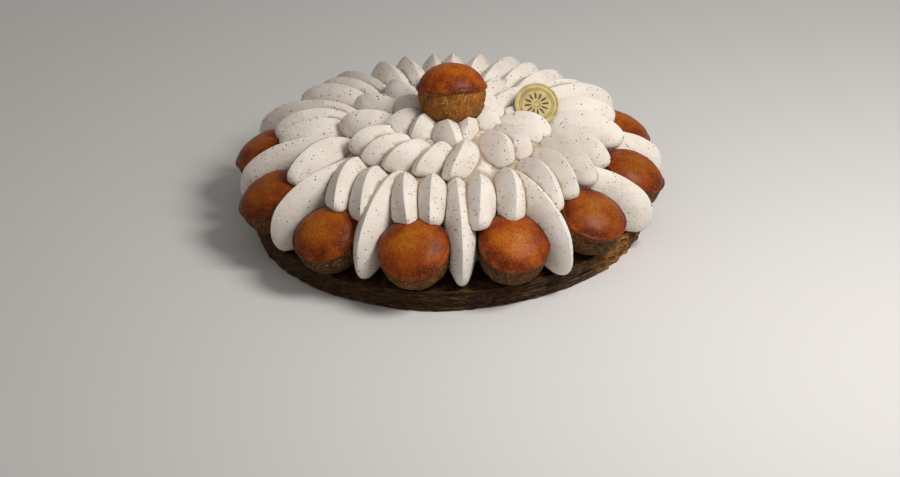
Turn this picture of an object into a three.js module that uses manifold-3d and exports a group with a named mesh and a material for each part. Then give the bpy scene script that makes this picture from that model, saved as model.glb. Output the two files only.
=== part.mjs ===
// A saint-honore cake: a round of puff pastry, a crown of caramel-dipped choux, vanilla cream piped in
// radial petals over them, one choux in the middle and a thin round plaque stuck in the cream.
// Millimetres, +Z up. The origin is the centre of the pastry's flat underside, and -Y is the front.
import * as THREE from "three";
import { mergeVertices } from "three/addons/utils/BufferGeometryUtils.js";
import Module from "manifold-3d";

const wasm = await Module();
wasm.setup();

// ---------------------------------------------------------------- driving dimensions
const GAP = 0.3; // clearance between pieces that touch

const PASTRY = { radius: 120, height: 12, layers: 4, bite: 2.2, segments: 64 };

const CHOUX = {
  count: 12, // round the edge
  radius: 20.2, // of the caramel's rim
  depth: 19.2, // of the body under the rim
  dome: 8.6, // of the caramel above the rim
  topDome: 14, // the same for the middle one
  segments: 16,
  sizes: [1.04, 1.04, 1, 0.98, 1, 0.99, 1.02, 1, 0.98, 1.01, 1, 1.01, 1.06], // the middle one last
  ring: 112, // from the cake's axis to the rim's centre
  firstAngle: -10.8, // degrees from the front, towards +X
  leans: [31, 26, 26, 27, 25, 27, 26, 25, 27, 26, 28, 27], // degrees outwards
  topAt: [3.2, 0, 84.4], // of the middle choux's rim
  topLean: 18, // degrees to the back
};

const PLAQUE = {
  radius: 13.4,
  thickness: 1.6,
  rim: 1.1,
  relief: 0.35,
  segments: 36,
  at: [54.2, 10.4, 66.1], // of its middle
  facing: 8, // degrees round from the front
  recline: 46, // degrees that its face looks up
};

// The cream's hidden body, as radius and height over the pastry, from the middle of its underside.
const CORE_OUTLINE = [
  [0, 0],
  [85, 0],
  [89, 4],
  [89, 29],
  [86, 35.5],
  [80, 38],
  [62, 39],
  [52, 43.5],
  [38, 47],
  [27, 50.5],
  [0, 52.5],
];
const CORE_SEGMENTS = 36;

// Each ring of petals: half the width of one, the share of its length where it is widest, how pointed
// its tip is, and the ridge from root to tip as radius and height. Each petal has its angle at the root
// and at the tip, in degrees from the front towards +X, then where they differ from the ring's how much
// further out it reaches, how much lower its ridge runs and how pointed its own tip is.
const RINGS = [
  {
    // over the pastry's edge, between the choux
    half: 11,
    widest: 0.55,
    blunt: 0.45,
    ridge: [
      [48, 46], [55, 54], [66, 59], [80, 60], [96, 57.5], [106, 54], [115, 48.5], [122.5, 41],
      [125.5, 32], [125, 22], [120, 14], [112, 12.6],
    ],
    petals: [
      [4, 3, -5, 0, 0.8], [33, 32, 5, 0, 0.6], [60, 65, 7, 11], [92, 94, 5, 13, 0.8], [124, 124],
      [158, 157, 0, -3], [184, 184, 0, -2.5], [215, 215, 0, -1], [246, 246, 1, -3],
      [274, 274, 0, 3], [304, 303, 0], [331, 333, -6],
    ],
  },
  {
    // above the choux
    half: 9.9,
    widest: 0.5,
    blunt: 0.5,
    ridge: [
      [51, 46], [55, 51.5], [62, 58], [75, 62.5], [89, 61.5], [100, 57], [106, 50.5],
      [104.5, 44.5], [97, 42.5],
    ],
    petals: [
      [16.5, 9.5, 2], [32.5, 22], [47, 37, 2], [61, 48, -3], [76, 60, -4], [88, 74, -6], [99, 90],
      [112, 106], [127, 126], [137, 137, 0, -1], [147, 147, 0, -2], [167, 167, 1, -2.5],
      [176, 177, 1, -2.5], [194, 195, 1, -1.5], [204, 204, 1, -1], [220, 225, 2, -1], [229, 234, 3, -2],
      [248, 257], [257, 264, -6], [274, 289, -3], [297, 315, -2], [314, 327, -1], [334, 344],
      [351, 353, -3],
    ],
  },
  {
    // the middle ring
    half: 10.9,
    widest: 0.55,
    blunt: 0.5,
    ridge: [
      [24, 56], [29, 62], [37, 67.5], [48, 69.5], [57, 67.5], [62.5, 62], [62.5, 56], [56, 50.5],
    ],
    petals: [
      [21, 4], [48, 38, -4], [65, 54, -2], [85, 79], [103, 103, 0, 5], [124, 124], [146, 146],
      [168, 168], [190, 190], [212, 214], [235, 239, 2], [260, 264, 2], [287, 289], [309, 305],
      [332, 323, -2], [361, 346, -4],
    ],
  },
  {
    // round the middle choux
    half: 12,
    widest: 0.5,
    blunt: 0.5,
    ridge: [[2, 58], [10, 68], [19, 74], [27, 74], [33.5, 70], [37, 64.5], [36, 60], [30, 57]],
    petals: [
      [-13, 4], [63, 28, -6], [86, 74, -4], [118, 112], [156, 154], [196, 196], [236, 238],
      [278, 284, 4], [308, 314, -7],
    ],
  },
];
const PETAL = { stations: 9, belly: 0.32, swell: 0.5, crowding: 1.4 };
const UNEVEN = { width: 0.05, rise: 0.8 };
const SIMPLE = 0.06; // how far a face of the cream may be moved to merge the smallest ones

const CREAM = new THREE.MeshStandardMaterial({ color: 0xede4d6, roughness: 0.62, metalness: 0 });
const CARAMEL = new THREE.MeshStandardMaterial({ color: 0xa8541a, roughness: 0.32, metalness: 0 });
const PUFF = new THREE.MeshStandardMaterial({ color: 0x5a3a1c, roughness: 0.8, metalness: 0 });
const GOLD = new THREE.MeshStandardMaterial({ color: 0xc9b56a, roughness: 0.4, metalness: 0.3 });

// ---------------------------------------------------------------- helpers
const radians = THREE.MathUtils.degToRad;

/** A repeatable number from -1 to 1 for a piece and a trait of it. */
function uneven(piece, trait) {
  const s = Math.sin(piece * 12.9898 + trait * 78.233) * 43758.5453;
  return 2 * (s - Math.floor(s)) - 1;
}

/** A closed geometry as a manifold-3d solid. */
function solidOf(geometry) {
  const g = geometry.clone();
  g.deleteAttribute("normal");
  g.deleteAttribute("uv");
  const merged = mergeVertices(g, 1e-4);
  return new wasm.Manifold(
    new wasm.Mesh({
      numProp: 3,
      vertProperties: merged.getAttribute("position").array,
      triVerts: new Uint32Array(merged.index.array),
    }),
  );
}

/** A manifold-3d solid as a geometry. */
function geometryOf(solid) {
  const mesh = solid.getMesh();
  const position = new Float32Array(mesh.numVert * 3);
  for (let i = 0; i < mesh.numVert; i += 1) {
    const from = i * mesh.numProp;
    position.set(mesh.vertProperties.subarray(from, from + 3), i * 3);
  }
  const g = new THREE.BufferGeometry();
  g.setAttribute("position", new THREE.BufferAttribute(position, 3));
  g.setIndex(new THREE.BufferAttribute(mesh.triVerts, 1));
  g.computeVertexNormals();
  return g;
}

/** The largest body of a solid, without the scraps that a cut leaves and with no hollow in it. */
function mainBody(solid) {
  return solid.decompose().sort((a, b) => b.volume() - a.volume())[0];
}

/** A solid of revolution about +Z from a profile of [radius, height], bottom first. */
function turned(profile, segments) {
  const points = profile.map(([r, z]) => new THREE.Vector2(r, z));
  return new THREE.LatheGeometry(points, segments).rotateX(Math.PI / 2);
}

/** Moves each vertex of a geometry by a function of its cylindrical place. */
function reshape(geometry, move) {
  const p = geometry.getAttribute("position");
  for (let i = 0; i < p.count; i += 1) {
    const r = Math.hypot(p.getX(i), p.getY(i));
    const angle = Math.atan2(p.getY(i), p.getX(i));
    const [newR, newZ] = move(r, angle, p.getZ(i));
    p.setXYZ(i, newR * Math.cos(angle), newR * Math.sin(angle), newZ);
  }
  return geometry;
}

/** The frame of a place on the cake: outwards at an angle from the front, leaning by a tilt. */
function placed(angle, radius, height, lean) {
  return new THREE.Matrix4()
    .makeRotationZ(radians(angle - 90))
    .multiply(new THREE.Matrix4().makeTranslation(radius, 0, height))
    .multiply(new THREE.Matrix4().makeRotationY(radians(lean)));
}

// ---------------------------------------------------------------- puff pastry
/** The round of puff pastry, with its leaves as steps round a wavy edge. */
function pastryBase() {
  const { radius, height, layers, bite, segments } = PASTRY;
  const leaf = height / layers;
  const profile = [[0, 0]];
  for (let k = 0; k < layers; k += 1) {
    const inset = radius - 0.45 * k - (k === 0 ? bite : 0);
    profile.push([inset, k * leaf]);
    profile.push([radius - 0.6 * k, (k + 0.55) * leaf]);
    if (k < layers - 1) profile.push([radius - bite - 0.5 * k, (k + 0.95) * leaf]);
  }
  profile.push([radius - layers * 0.9, height], [0, height]);
  return reshape(turned(profile, segments), (r, angle, z) => {
    if (r < radius / 2) return [r, z];
    const leafShift = 0.5 * Math.sin(7 * angle + z) + 0.35 * Math.sin(13 * angle - 2 * z);
    return [r + 0.7 * Math.sin(3 * angle + 1) + leafShift - 1.4, z];
  });
}

// ---------------------------------------------------------------- choux
/** The outline of a choux about its rim's centre, larger by a clearance, as [radius, height]. */
function chouxOutline(piece, clearance) {
  const { radius: r, depth } = CHOUX;
  const dome = piece < CHOUX.count ? CHOUX.dome : CHOUX.topDome;
  const outline = [
    [0, -depth],
    [0.62 * r, -0.965 * depth],
    [0.88 * r, -0.79 * depth],
    [0.975 * r, -0.5 * depth],
    [0.98 * r, -0.2 * depth],
    [0.96 * r, -0.08 * depth],
    [r, 0],
    [0.86 * r, 0.4 * dome],
    [0.5 * r, 0.85 * dome],
    [0, dome],
  ];
  return outline.map(([x, z]) => {
    const grown = x === 0 ? 0 : x + clearance;
    return [grown, z + clearance * Math.sign(z + 0.1 * depth)];
  });
}

/** One choux about its rim's centre, slightly out of round. */
function choux(piece, clearance = 0) {
  const body = turned(chouxOutline(piece, clearance), CHOUX.segments);
  const size = CHOUX.sizes[piece];
  return reshape(body, (r, angle, z) => {
    const wave = 0.02 * uneven(piece, 1) * Math.cos(2 * angle + piece);
    const bump = 0.012 * Math.cos(3 * angle + 2 * piece);
    return [size * r * (1 + wave + bump), size * z];
  });
}

/** How far a choux's lowest point is below its rim's centre when it leans. */
function chouxDrop(piece, tilt) {
  const leaning = choux(piece).applyMatrix4(placed(0, 0, 0, tilt));
  leaning.computeBoundingBox();
  return -leaning.boundingBox.min.z;
}

/** Where each choux sits, the ones on the pastry first and the middle one last. */
function chouxPlaces() {
  const { count, ring, firstAngle, leans, topAt, topLean } = CHOUX;
  const places = [];
  for (let k = 0; k < count; k += 1) {
    const angle = firstAngle + (360 / count) * k + uneven(k, 3);
    const height = PASTRY.height + GAP + chouxDrop(k, leans[k]);
    places.push({ piece: k, matrix: placed(angle, ring + uneven(k, 5), height, leans[k]) });
  }
  const top = new THREE.Matrix4().makeTranslation(...topAt).multiply(placed(180, 0, 0, topLean));
  places.push({ piece: count, matrix: top });
  return places;
}

// ---------------------------------------------------------------- plaque
/** The thin round plaque with a raised rim, its face towards +Z. */
function plaque(clearance = 0) {
  const { radius, thickness, rim, relief, segments } = PLAQUE;
  const r = radius + clearance;
  const t = thickness / 2 + clearance;
  const flat = [[0, -t], [r, -t], [r, t], [0, t]];
  const raised = [[0, -t], [r, -t], [r, t], [r - rim, t], [r - rim, t - relief], [0, t - relief]];
  return turned(clearance ? flat : raised, segments);
}

/** Where the plaque stands. */
function plaquePlace() {
  const { at, facing, recline } = PLAQUE;
  return new THREE.Matrix4()
    .makeTranslation(...at)
    .multiply(new THREE.Matrix4().makeRotationZ(radians(facing)))
    .multiply(new THREE.Matrix4().makeRotationX(radians(90 - recline)));
}

// ---------------------------------------------------------------- piped cream
/** How wide a petal is at a share of its length, from 0 at its ends to 1 where it is widest. */
function fullness(t, widest, blunt) {
  if (t < widest) return Math.sin((0.5 * Math.PI * t) / widest) ** PETAL.swell;
  const u = (t - widest) / (1 - widest);
  return (1 - u * u) ** blunt;
}

/** The section of a petal as [half width, height], from the ridge round to the keel and back. */
function petalSection() {
  const { belly } = PETAL;
  const side = [
    [0.62, 1 - 0.48 * (1 - belly)],
    [1, belly],
  ];
  return [[0, 1], ...side, [0, 0], ...side.map(([x, z]) => [-x, z]).reverse()];
}

/** One piped petal, a closed wedge that swells from its root and ends in a blunt tip. */
function petal(ring, [rootAngle, tipAngle, reach = 0, drop = 0, blunt = ring.blunt], seed) {
  const { stations, crowding } = PETAL;
  const half = ring.half * (1 + UNEVEN.width * uneven(seed, 1));
  const rise = UNEVEN.rise * uneven(seed, 2) - drop;
  const count = ring.ridge.length - 1;
  const curve = new THREE.SplineCurve(
    ring.ridge.map(([r, z], i) => new THREE.Vector2(r + (reach * i) / count, z + rise * (1 - i / count))),
  );
  const root = curve.getPointAt(0);
  const tip = curve.getPointAt(1);
  const section = petalSection();
  const points = [];
  const put = (r, x, z) => {
    const share = (r - root.x) / (tip.x - root.x);
    const at = radians(rootAngle + (tipAngle - rootAngle) * share - 90);
    points.push(r * Math.cos(at) - x * Math.sin(at), r * Math.sin(at) + x * Math.cos(at), z);
  };
  put(root.x, 0, root.y);
  for (let i = 1; i < stations; i += 1) {
    const t = 1 - (1 - i / stations) ** crowding;
    const ridge = curve.getPointAt(t);
    const keel = root.clone().lerp(tip, t);
    for (const [x, share] of section) {
      const p = keel.clone().lerp(ridge, share);
      put(p.x, x * half * fullness(t, ring.widest, blunt), p.y);
    }
  }
  put(tip.x, 0, tip.y);

  const faces = [];
  const n = section.length;
  const last = 1 + (stations - 1) * n;
  for (let j = 0; j < n; j += 1) {
    const next = (j + 1) % n;
    faces.push(0, 1 + j, 1 + next);
    for (let i = 0; i < stations - 2; i += 1) {
      const a = 1 + i * n;
      const b = a + n;
      faces.push(a + j, b + j, b + next, a + j, b + next, a + next);
    }
    faces.push(last, last - n + next, last - n + j);
  }
  const g = new THREE.BufferGeometry();
  g.setAttribute("position", new THREE.BufferAttribute(new Float32Array(points), 3));
  g.setIndex(faces);
  return g;
}

/** Every petal, ring by ring. */
function petals() {
  const made = [];
  for (const ring of RINGS) {
    for (const spec of ring.petals) made.push(petal(ring, spec, made.length));
  }
  return made;
}

/** The whole of the cream as one solid, cut clear of the pieces that sit in it. */
function cream(cutters) {
  const core = turned(CORE_OUTLINE, CORE_SEGMENTS);
  core.translate(0, 0, PASTRY.height + GAP);
  let body = solidOf(core);
  for (const p of petals()) body = body.add(solidOf(p));
  for (const c of cutters) body = body.subtract(solidOf(c));
  return geometryOf(mainBody(mainBody(body).asOriginal().simplify(SIMPLE)));
}

// ---------------------------------------------------------------- the cake
const cake = new THREE.Group();

/** Adds a mesh to the cake under a name. */
function add(name, geometry, material, matrix) {
  const mesh = new THREE.Mesh(geometry, material);
  mesh.name = name;
  if (matrix) {
    mesh.applyMatrix4(matrix);
  }
  cake.add(mesh);
}

const cutters = [];
add("pastry_base", pastryBase(), PUFF);
for (const { piece, matrix } of chouxPlaces()) {
  const name = piece < CHOUX.count ? `choux_${String(piece + 1).padStart(2, "0")}` : "choux_top";
  add(name, choux(piece), CARAMEL, matrix);
  cutters.push(choux(piece, GAP).applyMatrix4(matrix));
}
add("plaque", plaque(), GOLD, plaquePlace());
cutters.push(plaque(GAP).applyMatrix4(plaquePlace()));
add("cream", cream(cutters), CREAM);

export default cake;
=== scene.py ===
"""A saint-honore cake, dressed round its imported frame.

A round of puff pastry carries twelve choux dipped in caramel.  Vanilla cream is piped over them in
rings of petals, and a thirteenth choux and a thin gilt disc sit on top.  Lengths in the tables are
millimetres, as a pastry cook would give them; the meshes are in metres, +Z up, with -Y the front.
"""
import logging
import math
from dataclasses import dataclass
from enum import Enum
from typing import Optional, Sequence

import bmesh
import bpy
import numpy as np
from mathutils import Matrix, Vector, noise


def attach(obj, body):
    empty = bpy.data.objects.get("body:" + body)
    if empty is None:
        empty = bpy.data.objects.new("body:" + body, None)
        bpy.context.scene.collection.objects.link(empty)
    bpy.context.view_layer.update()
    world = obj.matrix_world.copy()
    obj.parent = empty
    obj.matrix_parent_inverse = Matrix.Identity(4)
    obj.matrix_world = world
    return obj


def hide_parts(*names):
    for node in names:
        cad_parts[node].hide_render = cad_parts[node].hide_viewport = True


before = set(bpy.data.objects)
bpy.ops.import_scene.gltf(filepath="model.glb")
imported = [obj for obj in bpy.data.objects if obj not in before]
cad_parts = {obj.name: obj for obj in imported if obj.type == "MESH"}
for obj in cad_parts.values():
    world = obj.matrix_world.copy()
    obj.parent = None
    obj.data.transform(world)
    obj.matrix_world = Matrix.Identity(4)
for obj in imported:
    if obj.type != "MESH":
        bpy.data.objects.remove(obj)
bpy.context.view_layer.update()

MM = 0.001
ROOT = "root"
LOG = logging.getLogger("saint_honore")

Colour = tuple[float, float, float]
Profile = Sequence[tuple[float, float]]
Triple = tuple[float, float, float]


class Slot(Enum):
    """The record's finishes."""

    PASTRY = "puff_pastry"
    CHOUX = "choux"
    CREAM = "cream"
    PLAQUE = "gold_plaque"


# ------------------------------------------------------------------------------------ numbers


def uneven(piece: float, trait: float) -> float:
    """Gives a repeatable number from -1 to 1.

    Args:
        piece: The number of the piece.
        trait: Which of its traits varies.

    Returns:
        The same number as the solids use for that piece and trait.
    """
    swing = math.sin(piece * 12.9898 + trait * 78.233) * 43758.5453
    return 2 * (swing - math.floor(swing)) - 1


def srgb(code: int) -> tuple[float, float, float, float]:
    """Turns a colour such as 0xEDE4D6 into linear red, green, blue and alpha.

    Args:
        code: The colour as it looks on a screen.

    Returns:
        What the shaders take.
    """
    parts = [((code >> shift) & 255) / 255 for shift in (16, 8, 0)]
    linear = [p / 12.92 if p <= 0.04045 else ((p + 0.055) / 1.055) ** 2.4 for p in parts]
    return (linear[0], linear[1], linear[2], 1.0)


def off_from(angle: float, centre: float) -> float:
    """Gives the degrees from one direction to another, from -180 to 180."""
    return (angle - centre + 180) % 360 - 180


def along_spline(points: Sequence[Sequence[float]], shares: np.ndarray) -> np.ndarray:
    """Follows a smooth curve through some points.

    Args:
        points: What the curve passes through, in order.
        shares: Shares of its length, from 0 to 1.

    Returns:
        One point of the curve for each share.
    """
    known = np.array(points, float)
    last = len(known) - 1

    def at(place: np.ndarray) -> np.ndarray:
        """Points of the curve at even steps of its parameter.

        Args:
            place: The parameter, from 0 to 1.

        Returns:
            One point for each.
        """
        whole = np.minimum(np.floor(place * last).astype(int), last)
        part = (place * last - whole)[:, None]
        before, here = known[np.maximum(whole - 1, 0)], known[whole]
        after, beyond = known[np.minimum(whole + 1, last)], known[np.minimum(whole + 2, last)]
        leave, arrive = (after - before) / 2, (beyond - here) / 2
        cubic = 2 * here - 2 * after + leave + arrive
        square = -3 * here + 3 * after - 2 * leave - arrive
        return cubic * part ** 3 + square * part ** 2 + leave * part + here

    steps = np.linspace(0, 1, 401)
    strides = np.linalg.norm(np.diff(at(steps), axis=0), axis=1)
    length = np.concatenate([[0.0], np.cumsum(strides)])
    return at(np.interp(shares, length / length[-1], steps))


def placed(angle: float, radius: float, height: float, lean: float) -> Matrix:
    """Gives the frame of a place on the cake, in millimetres.

    Args:
        angle: Degrees round from the front, towards +X.
        radius: Distance from the cake's axis.
        height: Height over the pastry's underside.
        lean: Degrees that its axis leans outwards.

    Returns:
        The matrix that puts a piece there.
    """
    turn = Matrix.Rotation(math.radians(angle - 90), 4, "Z")
    tilt = Matrix.Rotation(math.radians(lean), 4, "Y")
    return turn @ Matrix.Translation((radius, 0, height)) @ tilt


# ------------------------------------------------------------------------------------ meshes


def linked(name: str, data: bpy.types.ID) -> bpy.types.Object:
    """Makes an object of some data and links it to the scene.

    Args:
        name: The object's name.
        data: Its mesh, lamp or camera.

    Returns:
        The object, at the origin.
    """
    thing = bpy.data.objects.new(name, data)
    bpy.context.scene.collection.objects.link(thing)
    return thing


def mesh_object(name: str, points: np.ndarray, faces: Sequence[Sequence[int]],
                attributes: Optional[dict[str, np.ndarray]] = None) -> bpy.types.Object:
    """Makes an object from points in millimetres.

    Args:
        name: The object's name.
        points: One row of x, y and z for each point.
        faces: The points of each face, counter-clockwise from outside.
        attributes: Numbers to keep with the points, by name.

    Returns:
        The object, at the origin, linked to the scene and shaded smooth.
    """
    mesh = bpy.data.meshes.new(name)
    mesh.from_pydata((np.asarray(points) * MM).tolist(), [], [list(face) for face in faces])
    for key, values in (attributes or {}).items():
        layer = mesh.attributes.new(key, "FLOAT", "POINT")
        layer.data.foreach_set("value", np.asarray(values, np.float32))
    mesh.shade_smooth()
    return linked(name, mesh)


def turned(profile: Profile, segments: int) -> tuple[np.ndarray, list[list[int]]]:
    """Turns a profile about +Z.

    Args:
        profile: Radius and height of each point, from the axis at the bottom to the axis on top.
        segments: How many faces go round.

    Returns:
        The points, as bottom pole, rings and top pole, and the faces of the closed solid.
    """
    inner = profile[1:-1]
    turn = np.arange(segments) * 2 * math.pi / segments
    rows = [np.array([[0.0, 0.0, profile[0][1]]])]
    for radius, height in inner:
        rows.append(np.stack([radius * np.cos(turn), radius * np.sin(turn),
                              np.full(segments, float(height))], axis=1))
    rows.append(np.array([[0.0, 0.0, profile[-1][1]]]))
    faces: list[list[int]] = []
    top = 1 + len(inner) * segments
    for j in range(segments):
        k = (j + 1) % segments
        faces.append([0, 1 + k, 1 + j])
        for i in range(len(inner) - 1):
            low, high = 1 + i * segments, 1 + (i + 1) * segments
            faces.append([low + j, low + k, high + k, high + j])
        faces.append([top - segments + j, top - segments + k, top])
    return np.concatenate(rows), faces


def moved(points: np.ndarray, matrix: Matrix) -> np.ndarray:
    """Moves points by a matrix."""
    frame_of = np.array(matrix)
    return points @ frame_of[:3, :3].T + frame_of[:3, 3]


def discard(thing: bpy.types.Object) -> None:
    """Removes an object that only helped to make another."""
    bpy.data.objects.remove(thing, do_unlink=True)


def joined(name: str, things: Sequence[bpy.types.Object]) -> bpy.types.Object:
    """Copies some meshes into one object.

    Args:
        name: The new object's name.
        things: The objects to copy, which stay as they are.

    Returns:
        The new object, linked to the scene.
    """
    together = bmesh.new()
    for thing in things:
        together.from_mesh(thing.data)
    mesh = bpy.data.meshes.new(name)
    together.to_mesh(mesh)
    together.free()
    return linked(name, mesh)


def combine(thing: bpy.types.Object, other: bpy.types.Object, operation: str) -> None:
    """Applies a Boolean to a mesh and removes the other operand.

    Args:
        thing: The object that changes.
        other: What it is joined with or cut by.
        operation: UNION or DIFFERENCE.
    """
    cut = thing.modifiers.new("combine", "BOOLEAN")
    cut.operation = operation
    cut.solver = "MANIFOLD"
    cut.object = other
    graph = bpy.context.evaluated_depsgraph_get()
    result = bpy.data.meshes.new_from_object(thing.evaluated_get(graph))
    thing.modifiers.remove(cut)
    thing.data = result
    discard(other)


def keep_largest(thing: bpy.types.Object) -> None:
    """Drops the loose scraps of a mesh and keeps its largest body.

    Args:
        thing: The object whose mesh changes.
    """
    work = bmesh.new()
    work.from_mesh(thing.data)
    unseen = set(work.verts)
    bodies: list[set[bmesh.types.BMVert]] = []
    while unseen:
        body: set[bmesh.types.BMVert] = set()
        front = [unseen.pop()]
        while front:
            vert = front.pop()
            body.add(vert)
            for edge in vert.link_edges:
                other = edge.other_vert(vert)
                if other in unseen:
                    unseen.remove(other)
                    front.append(other)
        bodies.append(body)
    bodies.sort(key=len)
    for body in bodies[:-1]:
        bmesh.ops.delete(work, geom=list(body), context="VERTS")
    work.to_mesh(thing.data)
    work.free()


# ------------------------------------------------------------------------------------ nodes


class Tree:
    """A short way to write node trees, for shapes and for finishes."""

    def __init__(self, tree: bpy.types.NodeTree) -> None:
        """Starts from an existing tree."""
        self.tree = tree

    def node(self, kind: str, inputs: Optional[dict[str | int, object]] = None,
             **settings: object) -> bpy.types.Node:
        """Adds a node, sets its properties and feeds its inputs by name or number.

        Args:
            kind: The node's type.
            inputs: What each input takes: an output or a constant.
            settings: The node's own properties.

        Returns:
            The node.
        """
        made = self.tree.nodes.new(kind)
        for key, value in settings.items():
            setattr(made, key, value)
        for key, value in (inputs or {}).items():
            self.feed(made.inputs[key], value)
        return made

    def feed(self, socket: bpy.types.NodeSocket, value: object) -> None:
        """Links an output to a socket, or sets the socket to a constant."""
        if isinstance(value, bpy.types.NodeSocket):
            self.tree.links.new(value, socket)
        else:
            socket.default_value = value

    def maths(self, operation: str, *values: object) -> bpy.types.NodeSocket:
        """Adds a Math node and gives its output."""
        return self.node("ShaderNodeMath", dict(enumerate(values)),
                         operation=operation).outputs[0]

    def vector(self, operation: str, *values: object) -> bpy.types.NodeSocket:
        """Adds a Vector Math node and gives its output."""
        second = "Scale" if operation == "SCALE" else 1
        return self.node("ShaderNodeVectorMath", dict(zip((0, second), values)),
                         operation=operation).outputs[0]

    def ramp(self, value: object, low: object, high: object, start: float = 0.0,
             end: float = 1.0) -> bpy.types.NodeSocket:
        """Maps a value between two levels smoothly to another range."""
        return self.node("ShaderNodeMapRange", {
            "Value": value, "From Min": low, "From Max": high, "To Min": start,
            "To Max": end}, interpolation_type="SMOOTHSTEP").outputs[0]

    def curve(self, value: object, points: Profile) -> bpy.types.NodeSocket:
        """Maps a value from 0 to 1 by a smooth curve through some points.

        Args:
            value: The value.
            points: What the curve passes through.

        Returns:
            The mapped value.
        """
        made = self.node("ShaderNodeFloatCurve")
        line = made.mapping.curves[0]
        line.points[0].location = points[0]
        line.points[1].location = points[-1]
        for point in points[1:-1]:
            line.points.new(*point)
        made.mapping.update()
        self.feed(made.inputs["Value"], value)
        return made.outputs[0]


class Growth(Tree):
    """A Geometry Nodes tree with named inputs, run once and kept as a plain mesh."""

    def __init__(self, name: str, inputs: dict[str, tuple[str, object]]) -> None:
        """Makes the tree.

        Args:
            name: The tree's name.
            inputs: For each named input its socket type and its value.
        """
        super().__init__(bpy.data.node_groups.new(name, "GeometryNodeTree"))
        face = self.tree.interface
        face.new_socket("Geometry", in_out="INPUT", socket_type="NodeSocketGeometry")
        face.new_socket("Geometry", in_out="OUTPUT", socket_type="NodeSocketGeometry")
        self.values: dict[str, object] = {}
        for label, (kind, value) in inputs.items():
            socket = face.new_socket(label, in_out="INPUT", socket_type=kind)
            self.values[socket.identifier] = value
        self.entry = self.node("NodeGroupInput")
        self.exit = self.node("NodeGroupOutput")

    def given(self, label: str) -> bpy.types.NodeSocket:
        """Gives a named input."""
        return self.entry.outputs[label]

    def attribute(self, name: str, kind: str = "FLOAT") -> bpy.types.NodeSocket:
        """Reads an attribute of the points."""
        return self.node("GeometryNodeInputNamedAttribute", {"Name": name},
                         data_type=kind).outputs[0]

    def spot(self) -> bpy.types.NodeSocket:
        """Reads the position of the points."""
        return self.node("GeometryNodeInputPosition").outputs[0]

    def random(self, low: object, high: object, kind: str = "FLOAT") -> bpy.types.NodeSocket:
        """Draws a number or a vector for each element from the tree's own seed.

        Args:
            low: The least it can be.
            high: The most it can be.
            kind: FLOAT or FLOAT_VECTOR.

        Returns:
            The number or vector.
        """
        made = self.node("FunctionNodeRandomValue", data_type=kind)
        by_name = {socket.name: socket for socket in made.inputs if socket.enabled}
        for label, value in (("Min", low), ("Max", high), ("Seed", self.given("Seed"))):
            self.feed(by_name[label], value)
        return next(socket for socket in made.outputs if socket.enabled)

    def strew(self, share: bpy.types.NodeSocket, item: bpy.types.NodeSocket,
              scale: bpy.types.NodeSocket, spin: Optional[tuple[Triple, Triple]] = None) -> None:
        """Scatters an item over the faces that the tree starts from, and ends the tree.

        Args:
            share: The share of the full density at each point.
            item: The mesh that lies on each spot.
            scale: How large it is there.
            spin: The least and the most that it turns about each axis, in radians, if it does.
        """
        density = self.maths("MULTIPLY", self.given("Per square metre"), share)
        spread = self.node("GeometryNodeDistributePointsOnFaces", {
            "Mesh": self.entry.outputs[0], "Density": density, "Seed": self.given("Seed")})
        rotation = spread.outputs["Rotation"]
        if spin:
            rotation = self.node("FunctionNodeRotateRotation", {
                0: rotation, 1: self.random(*spin, "FLOAT_VECTOR")},
                rotation_space="LOCAL").outputs[0]
        on = self.node("GeometryNodeInstanceOnPoints", {
            "Points": spread.outputs["Points"], "Instance": item, "Rotation": rotation,
            "Scale": scale})
        self.close(on.outputs[0])

    def strew_grains(self, share: bpy.types.NodeSocket, least: Triple, most: Triple) -> None:
        """Scatters small uneven grains, and ends the tree.

        Args:
            share: The share of the full density at each point.
            least: The least size of a grain along each axis, in radii.
            most: The most that it can be.
        """
        grain = self.node("GeometryNodeMeshIcoSphere", {"Radius": 1.0, "Subdivisions": 1})
        size = self.random(least, most, "FLOAT_VECTOR")
        self.strew(share, grain.outputs["Mesh"],
                   self.vector("SCALE", size, self.given("Radius")))

    def close(self, geometry: bpy.types.NodeSocket) -> None:
        """Ends the tree with Realize Instances and Set Material.

        Args:
            geometry: What the tree has made.
        """
        real = self.node("GeometryNodeRealizeInstances", {0: geometry})
        dressed = self.node("GeometryNodeSetMaterial", {
            "Geometry": real.outputs[0], "Material": self.given("Material")})
        self.feed(self.exit.inputs[0], dressed.outputs[0])

    def grow(self, name: str, source: bpy.types.Object) -> bpy.types.Object:
        """Runs the tree on an object.

        Args:
            name: The name of what grows.
            source: What the tree starts from, which stays as it is.

        Returns:
            A new object with a plain mesh, linked to the scene.
        """
        modifier = source.modifiers.new(name, "NODES")
        modifier.node_group = self.tree
        for identifier, value in self.values.items():
            modifier[identifier] = value
        graph = bpy.context.evaluated_depsgraph_get()
        mesh = bpy.data.meshes.new_from_object(source.evaluated_get(graph))
        source.modifiers.remove(modifier)
        mesh.name = name
        return linked(name, mesh)


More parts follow.
